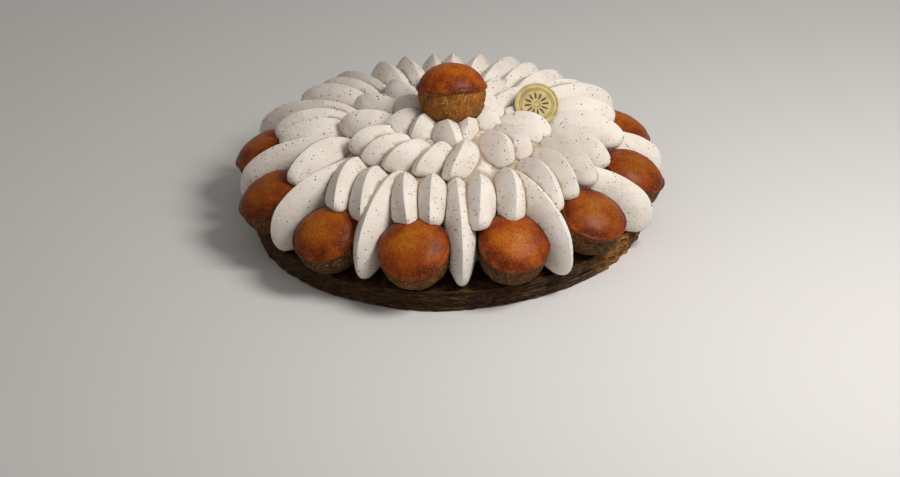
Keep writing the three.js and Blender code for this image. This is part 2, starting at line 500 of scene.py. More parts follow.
class Finish(Tree):
    """A procedural material on Object coordinates, in metres."""

    def __init__(self, name: str) -> None:
        """Starts a material with one Principled shader.

        Args:
            name: The material's name.
        """
        self.material = bpy.data.materials.new(name)
        self.material.use_nodes = True
        super().__init__(self.material.node_tree)
        self.shader = self.tree.nodes["Principled BSDF"]
        self.place = self.node("ShaderNodeTexCoord").outputs["Object"]

    def set(self, **values: object) -> None:
        """Sets sockets of the shader, with _ for a space in their names."""
        for key, value in values.items():
            self.feed(self.shader.inputs[key.replace("_", " ")], value)

    def attribute(self, name: str) -> bpy.types.NodeSocket:
        """Reads a number kept with the points."""
        return self.node("ShaderNodeAttribute", attribute_name=name).outputs["Fac"]

    def stretched(self, x: float, y: float, z: float) -> bpy.types.NodeSocket:
        """Gives the place with each axis scaled."""
        return self.node("ShaderNodeMapping", {
            "Vector": self.place, "Scale": (x, y, z)}).outputs[0]

    def grain(self, size: float, detail: float = 3, rough: float = 0.55,
              place: Optional[bpy.types.NodeSocket] = None) -> bpy.types.NodeSocket:
        """Adds noise.

        Args:
            size: Size of its blots in millimetres.
            detail: How many finer octaves it has.
            rough: How strong these are.
            place: Coordinates in metres, where they aren't the object's own.

        Returns:
            Its value, about 0.3 to 0.7.
        """
        return self.node("ShaderNodeTexNoise", {
            "Vector": place or self.place, "Scale": 1 / (size * MM), "Detail": detail,
            "Roughness": rough}).outputs["Fac"]

    def cells(self, size: float) -> bpy.types.NodeSocket:
        """Adds cells of a size in millimetres and gives the distance in them."""
        return self.node("ShaderNodeTexVoronoi", {
            "Vector": self.place, "Scale": 1 / (size * MM)}).outputs["Distance"]

    def blend(self, share: object, first: object, second: object) -> bpy.types.NodeSocket:
        """Mixes two colours, given as codes or as outputs, by a share of the second."""
        pair = [srgb(colour) if isinstance(colour, int) else colour
                for colour in (first, second)]
        return self.node("ShaderNodeMix", {0: share, 6: pair[0], 7: pair[1]},
                         data_type="RGBA").outputs[2]

    def layered(self, base: object, *layers: tuple[object, object]) -> object:
        """Blends layers of share and colour over a base, one after the other."""
        for share, colour in layers:
            base = self.blend(share, base, colour)
        return base

    def relief(self, *layers: tuple[object, float]) -> None:
        """Gives the shader a bump from layers of height and depth in millimetres."""
        normal: Optional[bpy.types.NodeSocket] = None
        for height, depth in layers:
            made = self.node("ShaderNodeBump", {
                "Strength": 1.0, "Distance": depth * MM, "Height": height})
            if normal is not None:
                self.feed(made.inputs["Normal"], normal)
            normal = made.outputs[0]
        self.feed(self.shader.inputs["Normal"], normal)


# ------------------------------------------------------------------------------------ finishes


@dataclass(frozen=True)
class CreamFinish:
    """Whipped vanilla cream: matt, warm white and slightly translucent, with painted shade in the
    creases between petals.
    """

    light: int = 0xEEE6DE
    warm: int = 0xE6DBD0
    speck: int = 0x8C7B69
    # Colour of the painted shade in the creases between petals.
    fold_shade: int = 0x9C8460
    roughness: float = 0.6
    glow: float = 0.06

    def build(self) -> bpy.types.Material:
        """Makes the material.

        Returns:
            The finished material.
        """
        finish = Finish("whipped_cream")
        tint = finish.ramp(finish.grain(14, 3), 0.35, 0.7)
        grains = finish.ramp(finish.cells(0.9), 0.0, 0.16, 0.45, 0.0)
        dust = finish.maths("MULTIPLY", grains, finish.ramp(finish.grain(5, 2), 0.52, 0.66))
        # Painted shade: darker where the cream turns sharply inwards between petals.
        fold_shade_share = finish.ramp(finish.attribute("fold_shade"), 0.25, 1.0, 0.0, 0.75)
        base = finish.layered(self.light, (tint, self.warm), (dust, self.speck),
                              (fold_shade_share, self.fold_shade))
        finish.set(Base_Color=base, Roughness=self.roughness, Specular_IOR_Level=0.35,
                   Subsurface_Weight=self.glow, Subsurface_Radius=(0.002, 0.0014, 0.0009),
                   Subsurface_Scale=1.0)
        finish.relief((finish.grain(4, 3), 0.5), (finish.grain(1.3, 4, 0.8), 0.5))
        return finish.material


@dataclass(frozen=True)
class ChouxFinish:
    """A choux bun with its caramel: a satin cap over a rough baked body."""

    # The honey colour in the middle of each cap is a painted highlight.
    honey_highlight: int = 0xC07624
    heart: int = 0xBC650E
    cap: int = 0x983F06
    rim: int = 0x501A04
    crust: int = 0x5C3A1D
    shade: int = 0x301B0C
    pale: int = 0x967A50
    # toast and golden colour the top bun's body, painted lighter partly as painted light.
    toast: int = 0x84501E
    golden: int = 0xAC6620
    fleck: int = 0xD09A4C
    satin: float = 0.44
    rough: float = 0.75

    def build(self) -> bpy.types.Material:
        """Makes the material, which reads what each point keeps of its place on the bun.

        Returns:
            The finished material.
        """
        finish = Finish("caramel_choux")
        capped = finish.attribute("cap")
        finish.set(Base_Color=finish.blend(capped, self.baked(finish), self.caramel(finish)),
                   Roughness=finish.ramp(capped, 0.0, 1.0, self.rough, self.satin),
                   Specular_IOR_Level=0.18)
        coarse = finish.maths("MULTIPLY", finish.grain(2.4, 4, 0.65),
                              finish.ramp(capped, 0.0, 1.0, 1.0, 0.08))
        finish.relief((coarse, 1.5), (finish.grain(0.8, 3, 0.65), 0.07))
        return finish.material

    def caramel(self, finish: Finish) -> bpy.types.NodeSocket:
        """Colours the cap: a painted highlight of honey in the middle, darker outwards, mottled
        and pored, with painted glints.

        Args:
            finish: The material that is being made.

        Returns:
            The colour.
        """
        cloudy = finish.ramp(finish.grain(11, 3, 0.55), 0.3, 0.7, -0.3, 0.3)
        drift = finish.maths("ADD", finish.attribute("outward"), cloudy)
        return finish.layered(
            self.honey_highlight,
            (finish.ramp(drift, -0.15, 0.35), self.heart),
            (finish.ramp(drift, 0.2, 0.85), self.cap),
            (finish.ramp(drift, 0.72, 1.1, 0.0, 0.85), self.rim),
            (finish.ramp(finish.attribute("tone"), 0.0, 1.0, 0.0, 0.55), self.rim),
            (finish.ramp(finish.grain(1.5, 4, 0.85), 0.42, 0.66, 0.0, 0.6), self.rim),
            (finish.ramp(finish.cells(1.0), 0.12, 0.36, 0.75, 0.0), self.rim),
            # Small lighter specks of the heart colour are painted glints.
            (finish.ramp(finish.grain(1.0, 3, 0.85), 0.52, 0.66, 0.0, 0.6), self.heart))

    def baked(self, finish: Finish) -> bpy.types.NodeSocket:
        """Colours the body: patches of crust and shade, light flecks and dark pits.
        The top bun's body is painted more golden than the ring's, partly its own bake and partly
        painted light.

        Args:
            finish: The material that is being made.

        Returns:
            The colour.
        """
        patch = finish.ramp(finish.grain(7, 3, 0.55), 0.36, 0.66)
        # Partly painted light: the top bun's body golden and lit, the ring's bodies darker in
        # painted shade.
        golden = finish.attribute("golden")
        dark = finish.blend(golden, self.shade, self.toast)
        # Light flecks: partly floury crust, partly painted highlights on the rough body.
        flour_and_highlight = finish.ramp(finish.grain(1.5, 4, 0.8), 0.5, 0.64, 0.0, 0.75)
        pits = finish.ramp(finish.grain(1.2, 3, 0.8), 0.34, 0.5, 0.9, 0.0)
        return finish.layered(
            dark,
            (patch, self.crust),
            (finish.maths("MULTIPLY", golden, patch), self.golden),
            (flour_and_highlight, finish.blend(golden, self.pale, self.fleck)),
            (pits, dark))


@dataclass(frozen=True)
class PastryFinish:
    """Puff pastry baked dark, in fine leaves."""

    dark: int = 0x24160B
    brown: int = 0x64421F
    gold: int = 0xB07C3C
    roughness: float = 0.62

    def build(self) -> bpy.types.Material:
        """Makes the material.

        Returns:
            The finished material.
        """
        finish = Finish("baked_puff_pastry")
        leafy = finish.stretched(1.0, 1.0, 6.0)
        streaks = finish.ramp(finish.grain(5, 5, 0.75, leafy), 0.38, 0.68)
        crisp = finish.ramp(finish.grain(3.2, 4, 0.75, leafy), 0.58, 0.72, 0.0, 0.6)
        base = finish.layered(
            self.dark, (streaks, self.brown), (crisp, self.gold),
            (finish.attribute("torn"), finish.blend(streaks, self.brown, self.gold)))
        finish.set(Base_Color=base, Roughness=self.roughness, Specular_IOR_Level=0.25)
        finish.relief((finish.grain(3.5, 4, 0.7, leafy), 0.7), (finish.grain(0.6, 2), 0.08))
        return finish.material


@dataclass(frozen=True)
class FlakeFinish:
    """Loose leaves of pastry, from dark to golden."""

    name: str
    first: int
    second: int
    blot: float = 6.0

    def build(self) -> bpy.types.Material:
        """Makes the material.

        Returns:
            The finished material.
        """
        finish = Finish(self.name)
        base = finish.blend(finish.ramp(finish.grain(self.blot, 3), 0.4, 0.62), self.first,
                            self.second)
        finish.set(Base_Color=base, Roughness=0.6, Specular_IOR_Level=0.4)
        finish.relief((finish.grain(0.7, 2), 0.08))
        return finish.material


@dataclass(frozen=True)
class GiltFinish:
    """Pale gilt card, matt and slightly mottled."""

    name: str
    light: int
    dark: int
    metal: float
    roughness: float

    def build(self) -> bpy.types.Material:
        """Makes the material.

        Returns:
            The finished material.
        """
        finish = Finish(self.name)
        base = finish.blend(finish.ramp(finish.grain(5, 4, 0.6), 0.35, 0.68), self.light,
                            self.dark)
        finish.set(Base_Color=base, Metallic=self.metal, Roughness=self.roughness)
        finish.relief((finish.grain(0.6, 3, 0.7), 0.025))
        return finish.material


@dataclass(frozen=True)
class StudioFinish:
    """Plain pale paper for the floor."""

    paper: int = 0xD9D8D6

    def build(self) -> bpy.types.Material:
        """Makes the material.

        Returns:
            The finished material.
        """
        finish = Finish("pale_floor")
        finish.set(Base_Color=srgb(self.paper), Roughness=0.85, Specular_IOR_Level=0.2)
        return finish.material


# ------------------------------------------------------------------------------------ pastry


@dataclass
class PuffPastry:
    """The round of puff pastry, with its leaves and its loose flakes."""

    radius: float = 120.0
    height: float = 12.0
    leaves: int = 13
    bite: float = 1.5
    segments: int = 420
    flakes: float = 60000.0
    torn_at: float = 58.0
    torn_half: float = 15.0
    torn_from: float = 100.0
    rough_from: float = 96.0
    flaky_from: float = 108.0
    flaky_over: float = 0.8
    edge_share: float = 0.97
    flat_share: float = 0.6
    stray: float = 0.85
    torn_stray: float = 1.6
    skin_over: float = 6.0
    top_shares: tuple[float, ...] = (
        0.97, 0.94, 0.91, 0.88, 0.85, 0.82, 0.79, 0.76, 0.73, 0.68, 0.5)

    def wave(self, angle: float, height: float) -> float:
        """How far the edge stands out at an angle, as the solid's does."""
        long_wave = 0.7 * math.sin(3 * angle + 1) + 0.5 * math.sin(7 * angle + height)
        return long_wave + 0.35 * math.sin(13 * angle - 2 * height) - 1.4

    def torn(self, angle: float) -> float:
        """How torn the edge is at an angle, from 0 to 1."""
        off = abs(off_from(math.degrees(angle) + 90, self.torn_at))
        return max(0.0, 1 - (off / self.torn_half) ** 2)

    def profile(self) -> list[tuple[float, float]]:
        """The outline of the leaves at the edge, bottom first.

        Returns:
            Radius and height of each point.
        """
        leaf = self.height / self.leaves
        outline = [(0.0, 0.0), (self.radius * 0.7, 0.0)]
        for k in range(self.leaves):
            outline.append((self.radius - self.bite, (k + 0.05) * leaf))
            outline.append((self.radius, (k + 0.3) * leaf))
            outline.append((self.radius, (k + 0.7) * leaf))
        outline.append((self.radius - 1.2, self.height))
        for share in self.top_shares:
            outline.append((self.radius * share, self.height))
        outline.append((0.0, self.height))
        return outline

    def ruffle(self, points: np.ndarray) -> np.ndarray:
        """Moves the leaves of the edge in and out and the top up and down.

        Args:
            points: The points of the plain round.

        Returns:
            The moved points.
        """
        shaped = points.copy()
        leaf = self.height / self.leaves
        for i, (x, y, z) in enumerate(points):
            r = math.hypot(x, y)
            if r < self.radius * self.flat_share:
                continue
            angle = math.atan2(y, x)
            row = math.floor(z / leaf * 0.999)
            along = Vector((18 * math.cos(angle), 18 * math.sin(angle), 5.3 * row))
            stray = noise.noise(along) + 0.6 * noise.noise(along * 3.1)
            torn = self.torn(angle)
            if r > self.radius * self.edge_share:
                lean = 0.35 * max(0.0, z - 2) / self.height
                loose = self.stray + self.torn_stray * torn
                r += self.wave(angle, z) - 2.0 * lean + loose * stray
                if 0.3 * leaf < z < self.height - 0.3 * leaf:
                    z += 0.28 * leaf * noise.noise(along * 1.7 + Vector((7, 1, 3)))
            else:
                lump = noise.noise(Vector((x, y, 3)) / 9)
                fine = noise.noise(Vector((x, y, 9)) / 2.6)
                z += 0.35 * lump + 0.22 * fine - 0.4 if z > self.skin_over else 0.0
                rough = z > self.skin_over and r > self.rough_from
                z += 0.9 * torn * fine if rough else 0.0
            shaped[i] = (r * math.cos(angle), r * math.sin(angle), z)
        return shaped

    def build(self) -> list[bpy.types.Object]:
        """Makes the round and what flakes off it.

        Returns:
            The round and its two kinds of flake.
        """
        points, faces = turned(self.profile(), self.segments)
        shaped = self.ruffle(points)
        out = np.hypot(shaped[:, 0], shaped[:, 1])
        torn = np.array([self.torn(math.atan2(y, x)) if far > self.torn_from else 0.0
                         for (x, y, _), far in zip(shaped, out)])
        edge = (out > self.flaky_from) & (shaped[:, 2] > self.flaky_over)
        flaky = np.where(edge, 0.2 + 0.8 * torn, 0.0)
        base = mesh_object("puff_pastry", shaped, faces, {"torn": torn, "flaky": flaky})
        base.data.materials.append(PastryFinish().build())
        dark = FlakeFinish("dark_flake", 0x3A2412, 0x6B4524).build()
        gold = FlakeFinish("golden_flake", 0xA06A30, 0xD9A862).build()
        return [base,
                self.scatter("pastry_flakes_dark", base, dark, 0.22, 1.4, 11),
                self.scatter("pastry_flakes_gold", base, gold, 0.08, 1.15, 12)]

    def scatter(self, name: str, base: bpy.types.Object, material: bpy.types.Material,
                share: float, size: float, seed: int) -> bpy.types.Object:
        """Scatters bent flakes over the edge.

        Args:
            name: The name of the piece.
            base: The round that carries them.
            material: Their finish.
            share: How many there are, as a share of the pastry's own density.
            size: Length of the largest in millimetres.
            seed: The seed of every draw.

        Returns:
            All of them as one mesh.
        """
        growth = Growth(name, {
            "Per square metre": ("NodeSocketFloat", self.flakes * share),
            "Length": ("NodeSocketFloat", size * MM),
            "Seed": ("NodeSocketInt", seed),
            "Material": ("NodeSocketMaterial", material)})
        leaf = growth.node("GeometryNodeMeshCube", {
            "Size": (1.0, 0.62, 0.12), "Vertices X": 4})
        along = growth.node("ShaderNodeSeparateXYZ", {0: growth.spot()}).outputs[0]
        curl = growth.maths("MULTIPLY", growth.maths("MULTIPLY", along, along), 0.7)
        lift = growth.node("ShaderNodeCombineXYZ", {"Z": curl})
        bent = growth.node("GeometryNodeSetPosition", {
            "Geometry": leaf.outputs["Mesh"], "Offset": lift.outputs[0]})
        length = growth.maths("MULTIPLY", growth.given("Length"), growth.random(0.35, 1.0))
        growth.strew(growth.attribute("flaky"), bent.outputs[0], length,
                     ((-0.5, -0.5, 0.0), (0.5, 0.5, 6.28)))
        return growth.grow(name, base)


# ------------------------------------------------------------------------------------ choux


# Outline of a bun from its foot to the top of its cap, in shares of its radius and of its depth,
# the last table in shares of its dome.
BODY = ((0.0, -1.0), (0.3, -0.995), (0.62, -0.965), (0.8, -0.88), (0.9, -0.74), (0.972, -0.52),
        (0.985, -0.32), (0.975, -0.16), (0.955, -0.07))
LIP = ((0.97, -0.045), (0.998, -0.02), (1.004, 0.01))
DOME = ((0.985, 0.09), (0.945, 0.17), (0.86, 0.4), (0.7, 0.66), (0.5, 0.85), (0.25, 0.965),
        (0.0, 1.0))

@dataclass
class Choux:
    """The thirteen choux: where they sit, their shape and their crumbs."""

    count: int = 12
    radius: float = 20.2
    depth: float = 19.2
    dome: float = 8.6
    top_dome: float = 14.0
    sizes: tuple[float, ...] = (1.04, 1.04, 1, 0.98, 1, 0.99, 1.02, 1, 0.98, 1.01, 1, 1.01, 1.06)
    ring: float = 112.0
    first_angle: float = -10.8
    leans: tuple[float, ...] = (31, 26, 26, 27, 25, 27, 26, 25, 27, 26, 28, 27)
    tones: tuple[float, ...] = (
        0.35, 0.2, 0.7, 0.8, 0.5, 0.2, 0.35, 0.1, 0.25, 0.5, 0.7, 0.45, 0.0)
    top_at: tuple[float, float, float] = (3.2, 0.0, 84.4)
    top_lean: float = 18.0
    top_taper: float = 0.14
    segments: int = 128
    floor: float = 12.3
    gap: float = 0.25
    crust_under: float = -0.9
    rim_at: float = -0.045
    lip_at: float = 0.985
    trough_at: float = 0.91
    crease_at: float = 0.055
    crease_from: float = 10.0
    crumbs_from: float = 0.12

    def outline(self, piece: int, fine: bool,
                clearance: float = 0.0) -> list[tuple[float, float]]:
        """The outline about the rim's centre.

        Args:
            piece: The number of the bun.
            fine: Whether it has the lip of the caramel and many points.
            clearance: How much larger it is.

        Returns:
            Radius and height of each point, bottom first.
        """
        r, d = self.radius, self.depth
        dome = self.dome if piece < self.count else self.top_dome
        taper = self.top_taper if piece == self.count else 0.0
        body = [(x * r * (1 + taper * (z * d) / d), z * d) for x, z in BODY]
        lip = [(x * r, z * d) for x, z in LIP]
        top = [(x * r, z * dome) for x, z in DOME]
        if not fine:
            rough = body[:1] + body[2:] + [(r, 0.0)] + top[1:]
            return [(x + clearance if x else 0.0, z + clearance * (1 if z > -0.1 * d else -1))
                    for x, z in rough]
        shares = np.concatenate([np.linspace(0, 0.3, 15), np.linspace(0.33, 1, 24)])
        under = along_spline(body, np.linspace(0, 1, 44))
        over = along_spline(lip + top, shares)
        return [tuple(p) for p in under] + [tuple(p) for p in over]

    def swell(self, piece: int, points: np.ndarray) -> np.ndarray:
        """Puts a bun slightly out of round, as its solid is.

        Args:
            piece: The number of the bun.
            points: Points about the rim's centre.

        Returns:
            The moved points.
        """
        size = self.sizes[piece]
        angle = np.arctan2(points[:, 1], points[:, 0])
        wave = 0.02 * uneven(piece, 1) * np.cos(2 * angle + piece)
        share = size * (1 + wave + 0.012 * np.cos(3 * angle + 2 * piece))
        return points * np.stack([share, share, np.full(len(points), size)], axis=1)

    def places(self) -> list[Matrix]:
        """Where each choux sits, the ones on the pastry first and the middle one last.

        Returns:
            The matrix of each.
        """
        found = []
        for k in range(self.count):
            tilt = self.leans[k]
            rough, _ = turned(self.outline(k, False), 16)
            drop = -moved(self.swell(k, rough), placed(0, 0, 0, tilt))[:, 2].min()
            angle = self.first_angle + 360 / self.count * k + uneven(k, 3)
            found.append(placed(angle, self.ring + uneven(k, 5), self.floor + drop, tilt))
        found.append(Matrix.Translation(self.top_at) @ placed(180, 0, 0, self.top_lean))
        return found

    def craggy(self, piece: int, points: np.ndarray) -> tuple[np.ndarray, dict[str, np.ndarray]]:
        """Gives a bun its crust, its lip and its wrinkles.

        Args:
            piece: The number of the bun.
            points: Its points about the rim's centre.

        Returns:
            The moved points, and what each keeps: how much caramel covers it, how far out on the
            cap it is, how thickly crumbs gather there, the bun's own tone and how golden its body
            is painted, partly its own bake and partly painted light.
        """
        shaped = points.copy()
        cap, outward, crease = (np.zeros(len(points)) for _ in range(3))
        apart = Vector((31.7 * piece, 5.1 * piece, 0))
        lip = 0.55 + 0.35 * uneven(piece, 7)
        for i, (x, y, z) in enumerate(points):
            here = Vector((x, y, z)) + apart
            r = math.hypot(x, y)
            angle = math.atan2(y, x)
            round_rim = Vector((2.2 * math.cos(angle), 2.2 * math.sin(angle), 9.0 * piece))
            swing = noise.noise(round_rim)
            low = self.rim_at * self.depth + 0.5 * swing
            cap[i] = min(1.0, max(0.0, (z - low) / 0.35 + 0.5))
            outward[i] = min(1.2, r / self.radius)
            push = Vector((x, y, 0.0)) / max(r, 1e-6)
            if z > self.crust_under:
                rise = 0.28 * noise.noise(here / 6.5) + 0.08 * noise.noise(here / 2.2)
                near = math.exp(-((r - self.lip_at * self.radius) / 0.75) ** 2)
                rise += lip * near * (0.75 + 0.6 * swing) if z > -0.1 else 0.0
                hollow = math.exp(-((r - self.trough_at * self.radius) / 1.1) ** 2)
                rise -= 0.35 * lip * hollow
                shaped[i] += (push.x * 0.22 * swing, push.y * 0.22 * swing, rise)
            else:
                wrinkle = noise.noise(Vector((here.x / 2.6, here.y / 2.6, here.z / 6.0)))
                lump = noise.noise(here / 5.0)
                pit = noise.noise(here / 1.5)
                stand = 0.42 * wrinkle + 0.45 * lump + 0.25 * pit - 0.15
                stand *= 1.5 if piece == self.count else 1.0
                stand *= min(1.0, (self.crust_under - z) / 1.2 + 0.25)
                shaped[i] += (push.x * stand, push.y * stand, 0.3 * pit)
            below = z + self.crease_at * self.depth
            edge = math.exp(-(below / 0.9) ** 2) if r > self.crease_from else 0.0
            crease[i] = edge if edge > self.crumbs_from else 0.0
        # The top bun's body is painted golden and the ring's darker, partly their own bake and
        # partly painted light: the top stands in the light, the ring's bodies lie in shade under
        # their caps.
        golden = 0.8 if piece == self.count else 0.12 + 0.12 * uneven(piece, 9)
        return shaped, {"cap": cap, "outward": outward, "crease": crease,
                        "tone": np.full(len(points), self.tones[piece]),
                        "golden": np.full(len(points), golden)}

    def build(self) -> list[bpy.types.Object]:
        """Makes the choux and their crumbs.

        Returns:
            The thirteen buns in the order of their places, then all their crumbs as one piece.
        """
        material = ChouxFinish().build()
        buns = []
        for piece, place in enumerate(self.places()):
            points, faces = turned(self.outline(piece, True), self.segments)
            shaped, kept = self.craggy(piece, points)
            whole = moved(self.swell(piece, shaped), place)
            bun = mesh_object(f"{self.node(piece)}_bun", whole, faces, kept)
            bun.data.materials.append(material)
            buns.append(bun)
        return buns + [self.crumbs(buns)]

    def node(self, piece: int) -> str:
        """The name of a bun's solid."""
        return f"choux_{piece + 1:02d}" if piece < self.count else "choux_top"

    def crumbs(self, buns: Sequence[bpy.types.Object]) -> bpy.types.Object:
        """Gathers toasted crumbs in the crease under each rim.

        Args:
            buns: The buns.

        Returns:
            All the crumbs as one mesh.
        """
        material = FlakeFinish("toasted_crumb", 0xA8763A, 0xDDBB82, 3.0).build()
        growth = Growth("choux_crumbs", {
            "Per square metre": ("NodeSocketFloat", 260000.0),
            "Radius": ("NodeSocketFloat", 0.3 * MM),
            "Seed": ("NodeSocketInt", 5),
            "Material": ("NodeSocketMaterial", material)})
        growth.strew_grains(growth.attribute("crease"), (0.4, 0.4, 0.35), (1.1, 1.1, 0.8))
        gathered = joined("crease", buns)
        crumbs = growth.grow("choux_crumbs", gathered)
        discard(gathered)
        return crumbs

    def cutters(self) -> list[bpy.types.Object]:
        """Plain forms a little larger than the buns, to cut their beds in the cream.

        Returns:
            One object for each bun.
        """
        beds = []
        for piece, place in enumerate(self.places()):
            points, faces = turned(self.outline(piece, False, self.gap), 64)
            whole = moved(self.swell(piece, points), place)
            beds.append(mesh_object(f"bed_{piece}", whole, faces))
        return beds


# ------------------------------------------------------------------------------------ disc


@dataclass
class GiltDisc:
    """The thin gilt disc, with a rim and a plain rosette."""

    radius: float = 13.4
    thickness: float = 1.6
    rim: float = 1.1
    relief: float = 0.35
    at: tuple[float, float, float] = (54.2, 10.4, 66.1)
    facing: float = 8.0
    recline: float = 46.0
    segments: int = 128
    rays: int = 12
    gap: float = 0.25

    def place(self) -> Matrix:
        """Where the disc stands.

        Returns:
            Its matrix, in millimetres.
        """
        turn = Matrix.Rotation(math.radians(self.facing), 4, "Z")
        tilt = Matrix.Rotation(math.radians(90 - self.recline), 4, "X")
        return Matrix.Translation(self.at) @ turn @ tilt

    def profile(self) -> list[tuple[float, float]]:
        """Its outline with rounded edges, bottom first.

        Returns:
            Radius and height of each point.
        """
        half, r, face = self.thickness / 2, self.radius, self.thickness / 2 - self.relief
        soft = 0.16
        return [(0, -half), (r - 2, -half), (r - soft, -half), (r, -half + soft),
                (r, half - soft), (r - soft, half), (r - self.rim + soft, half),
                (r - self.rim - 0.02, half - 0.1), (r - self.rim - 0.18, face),
                (r - self.rim - 1, face), (5, face), (0, face)]

    def build(self) -> list[bpy.types.Object]:
        """Makes the disc and its ornament.

        Returns:
            The disc and the rosette.
        """
        gilt = GiltFinish("pale_gilt", 0xB8A56A, 0x9C8B54, 0.25, 0.48).build()
        points, faces = turned(self.profile(), self.segments)
        disc = mesh_object("gilt_disc", moved(points, self.place()), faces)
        disc.data.set_sharp_from_angle(angle=math.radians(50))
        disc.data.materials.append(gilt)
        return [disc, self.rosette()]

    def rosette(self) -> bpy.types.Object:
        """Makes the ornament: leaves round a hub, within two thin rings.

        Returns:
            It, as one mesh.
        """
        ink = GiltFinish("dark_gilt", 0x4A3826, 0x35281A, 0.1, 0.5).build()
        growth = Growth("disc_rosette", {
            "Leaves": ("NodeSocketInt", self.rays),
            "Leaf circle": ("NodeSocketFloat", 5.3 * MM),
            "Leaf length": ("NodeSocketFloat", 2.3 * MM),
            "Leaf width": ("NodeSocketFloat", 0.62 * MM),
            "Ring": ("NodeSocketFloat", 10.3 * MM),
            "Line": ("NodeSocketFloat", 0.16 * MM),
            "Material": ("NodeSocketMaterial", ink)})
        circle = growth.node("GeometryNodeMeshCircle", {
            "Vertices": growth.given("Leaves"), "Radius": growth.given("Leaf circle")})
        leaf = growth.node("GeometryNodeMeshUVSphere", {
            "Segments": 14, "Rings": 8, "Radius": 1.0})
        sized = growth.node("ShaderNodeCombineXYZ", {
            0: growth.given("Leaf length"), 1: growth.given("Leaf width"),
            2: growth.given("Line")})
        outwards = growth.node("FunctionNodeAlignRotationToVector",
                               {"Vector": growth.spot()}, axis="X")
        on = growth.node("GeometryNodeInstanceOnPoints", {
            "Points": circle.outputs["Mesh"], "Instance": leaf.outputs["Mesh"],
            "Rotation": outwards.outputs[0], "Scale": sized.outputs[0]})
        together = growth.node("GeometryNodeJoinGeometry", {0: on.outputs[0]})
        for share in (1.0, 0.9, 0.17):
            radius = growth.maths("MULTIPLY", growth.given("Ring"), share)
            ring = growth.node("GeometryNodeCurvePrimitiveCircle", {
                "Resolution": 96, "Radius": radius})
            wire = growth.node("GeometryNodeCurvePrimitiveCircle", {
                "Resolution": 10, "Radius": growth.given("Line")})
            drawn = growth.node("GeometryNodeCurveToMesh", {
                "Curve": ring.outputs[0], "Profile Curve": wire.outputs[0]})
            growth.feed(together.inputs[0], drawn.outputs[0])
        growth.close(together.outputs[0])
        seed = mesh_object("seed", np.zeros((3, 3)), [])
        rosette = growth.grow("disc_rosette", seed)
        discard(seed)
        face = self.thickness / 2 - self.relief
        lifted = self.place() @ Matrix.Translation((0, 0, face))
        lifted.translation *= MM
        rosette.data.transform(lifted)
        rosette.data.shade_smooth()
        return rosette

    def cutter(self) -> bpy.types.Object:
        """A plain form a little larger than the disc, to cut its slot in the cream.

        Returns:
            The form.
        """
        r, half = self.radius + self.gap, self.thickness / 2 + self.gap
        points, faces = turned([(0, -half), (r, -half), (r, half), (0, half)], 96)
        return mesh_object("disc_slot", moved(points, self.place()), faces)


# ------------------------------------------------------------------------------------ cream


@dataclass(frozen=True)
class Petal:
    """One petal: its own line of a ring's table.

    Its ridge starts at one angle and ends at another, in degrees from the front towards +X.
    Then follow how much further out it reaches and how much lower its ridge runs, in
    millimetres, how pointed its own tip is, where that differs from the ring's, and how many
    times as wide as the ring's others it is.
    """

    root: float
    tip: float
    reach: float = 0.0
    drop: float = 0.0
    blunt: Optional[float] = None
    fullness: float = 1.0


@dataclass(frozen=True)
class Ring:
    """One ring of petals.

    Half the width of one comes first, then the share of its length where it is widest, how
    pointed its tip is, how rounded its ridge is and how many millimetres the ridge leans round
    the cake.  The ridge is given from root to tip as radius and height.  Each petal is what
    Petal takes.
    """

    half: float
    widest: float
    blunt: float
    arch: float
    lean: float
    ridge: tuple[tuple[float, float], ...]
    petals: tuple[tuple[float, ...], ...]


RINGS = (
    Ring(11.0, 0.55, 0.45, 0.5, 1.0,
         ((48, 46), (55, 54), (66, 59), (80, 60), (96, 57.5), (106, 54), (115, 48.5),
          (122.5, 41), (125.5, 32), (125, 22), (120, 14), (112, 12.6)),
         ((4, 3, -5, 0, 0.8), (33, 32, 5, 0, 0.6), (60, 65, 7, 11), (92, 94, 5, 13, 0.8),
          (124, 124),
          (158, 157, 0, -3), (184, 184, 0, -2.5), (215, 215, 0, -1), (246, 246, 1, -3),
          (274, 274, 0, 3), (304, 303, 0, 0, 0.62), (331, 333, -5, 0, 0.72))),
    Ring(10.7, 0.5, 0.42, 0.2, 3.0,
         ((51, 46), (55, 51.5), (62, 58), (75, 62.5), (89, 61.5), (100, 57), (106, 50.5),
          (104.5, 44.5), (97, 42.5)),
         ((16.5, 9.5, 2), (32.5, 22), (47, 37, 2), (61, 48, -3), (76, 60, -4), (88, 74, -6),
          (99, 90), (112, 106), (127, 126), (137, 137, 0, -1), (147, 147, 0, -2),
          (167, 167, 1, -2.5), (176, 177, 1, -2.5), (194, 195, 1, -1.5), (204, 204, 1, -1),
          (220, 225, 2, -1), (229, 234, 3, -2), (248, 257, 0, 0, 0.4, 1.15),
          (257, 264, -6, 0, 0.4, 1.2),
          (274, 289, -3, 0, 0.4, 1.3), (297, 315, -2, 0, 0.4, 1.22), (314, 327, -1, 0, 0.42, 1.2),
          (334, 344, -2, -1.5), (351, 353, -5, -1.5))),
    Ring(10.9, 0.55, 0.5, 0.2, 3.2,
         ((24, 56), (29, 62), (37, 67.5), (48, 69.5), (57, 67.5), (62.5, 62), (62.5, 56),
          (56, 50.5)),
         ((21, 4), (48, 38, -4), (65, 54, -2), (85, 79), (103, 103, 0, 5), (124, 124),
          (146, 146), (168, 168), (190, 190), (212, 214), (235, 239, 2), (260, 264, 2),
          (287, 289), (309, 305), (332, 323, -2), (361, 346, -4))),
    Ring(12.0, 0.5, 0.5, 0.2, 1.5,
         ((2, 58), (10, 68), (19, 74), (27, 74), (33.5, 70), (37, 64.5), (36, 60),
          (30, 57)),
         ((-13, 4), (63, 28, -6), (86, 74, -4), (118, 112), (156, 154), (196, 196), (236, 238),
          (278, 284, 4), (308, 314, -7))),
)


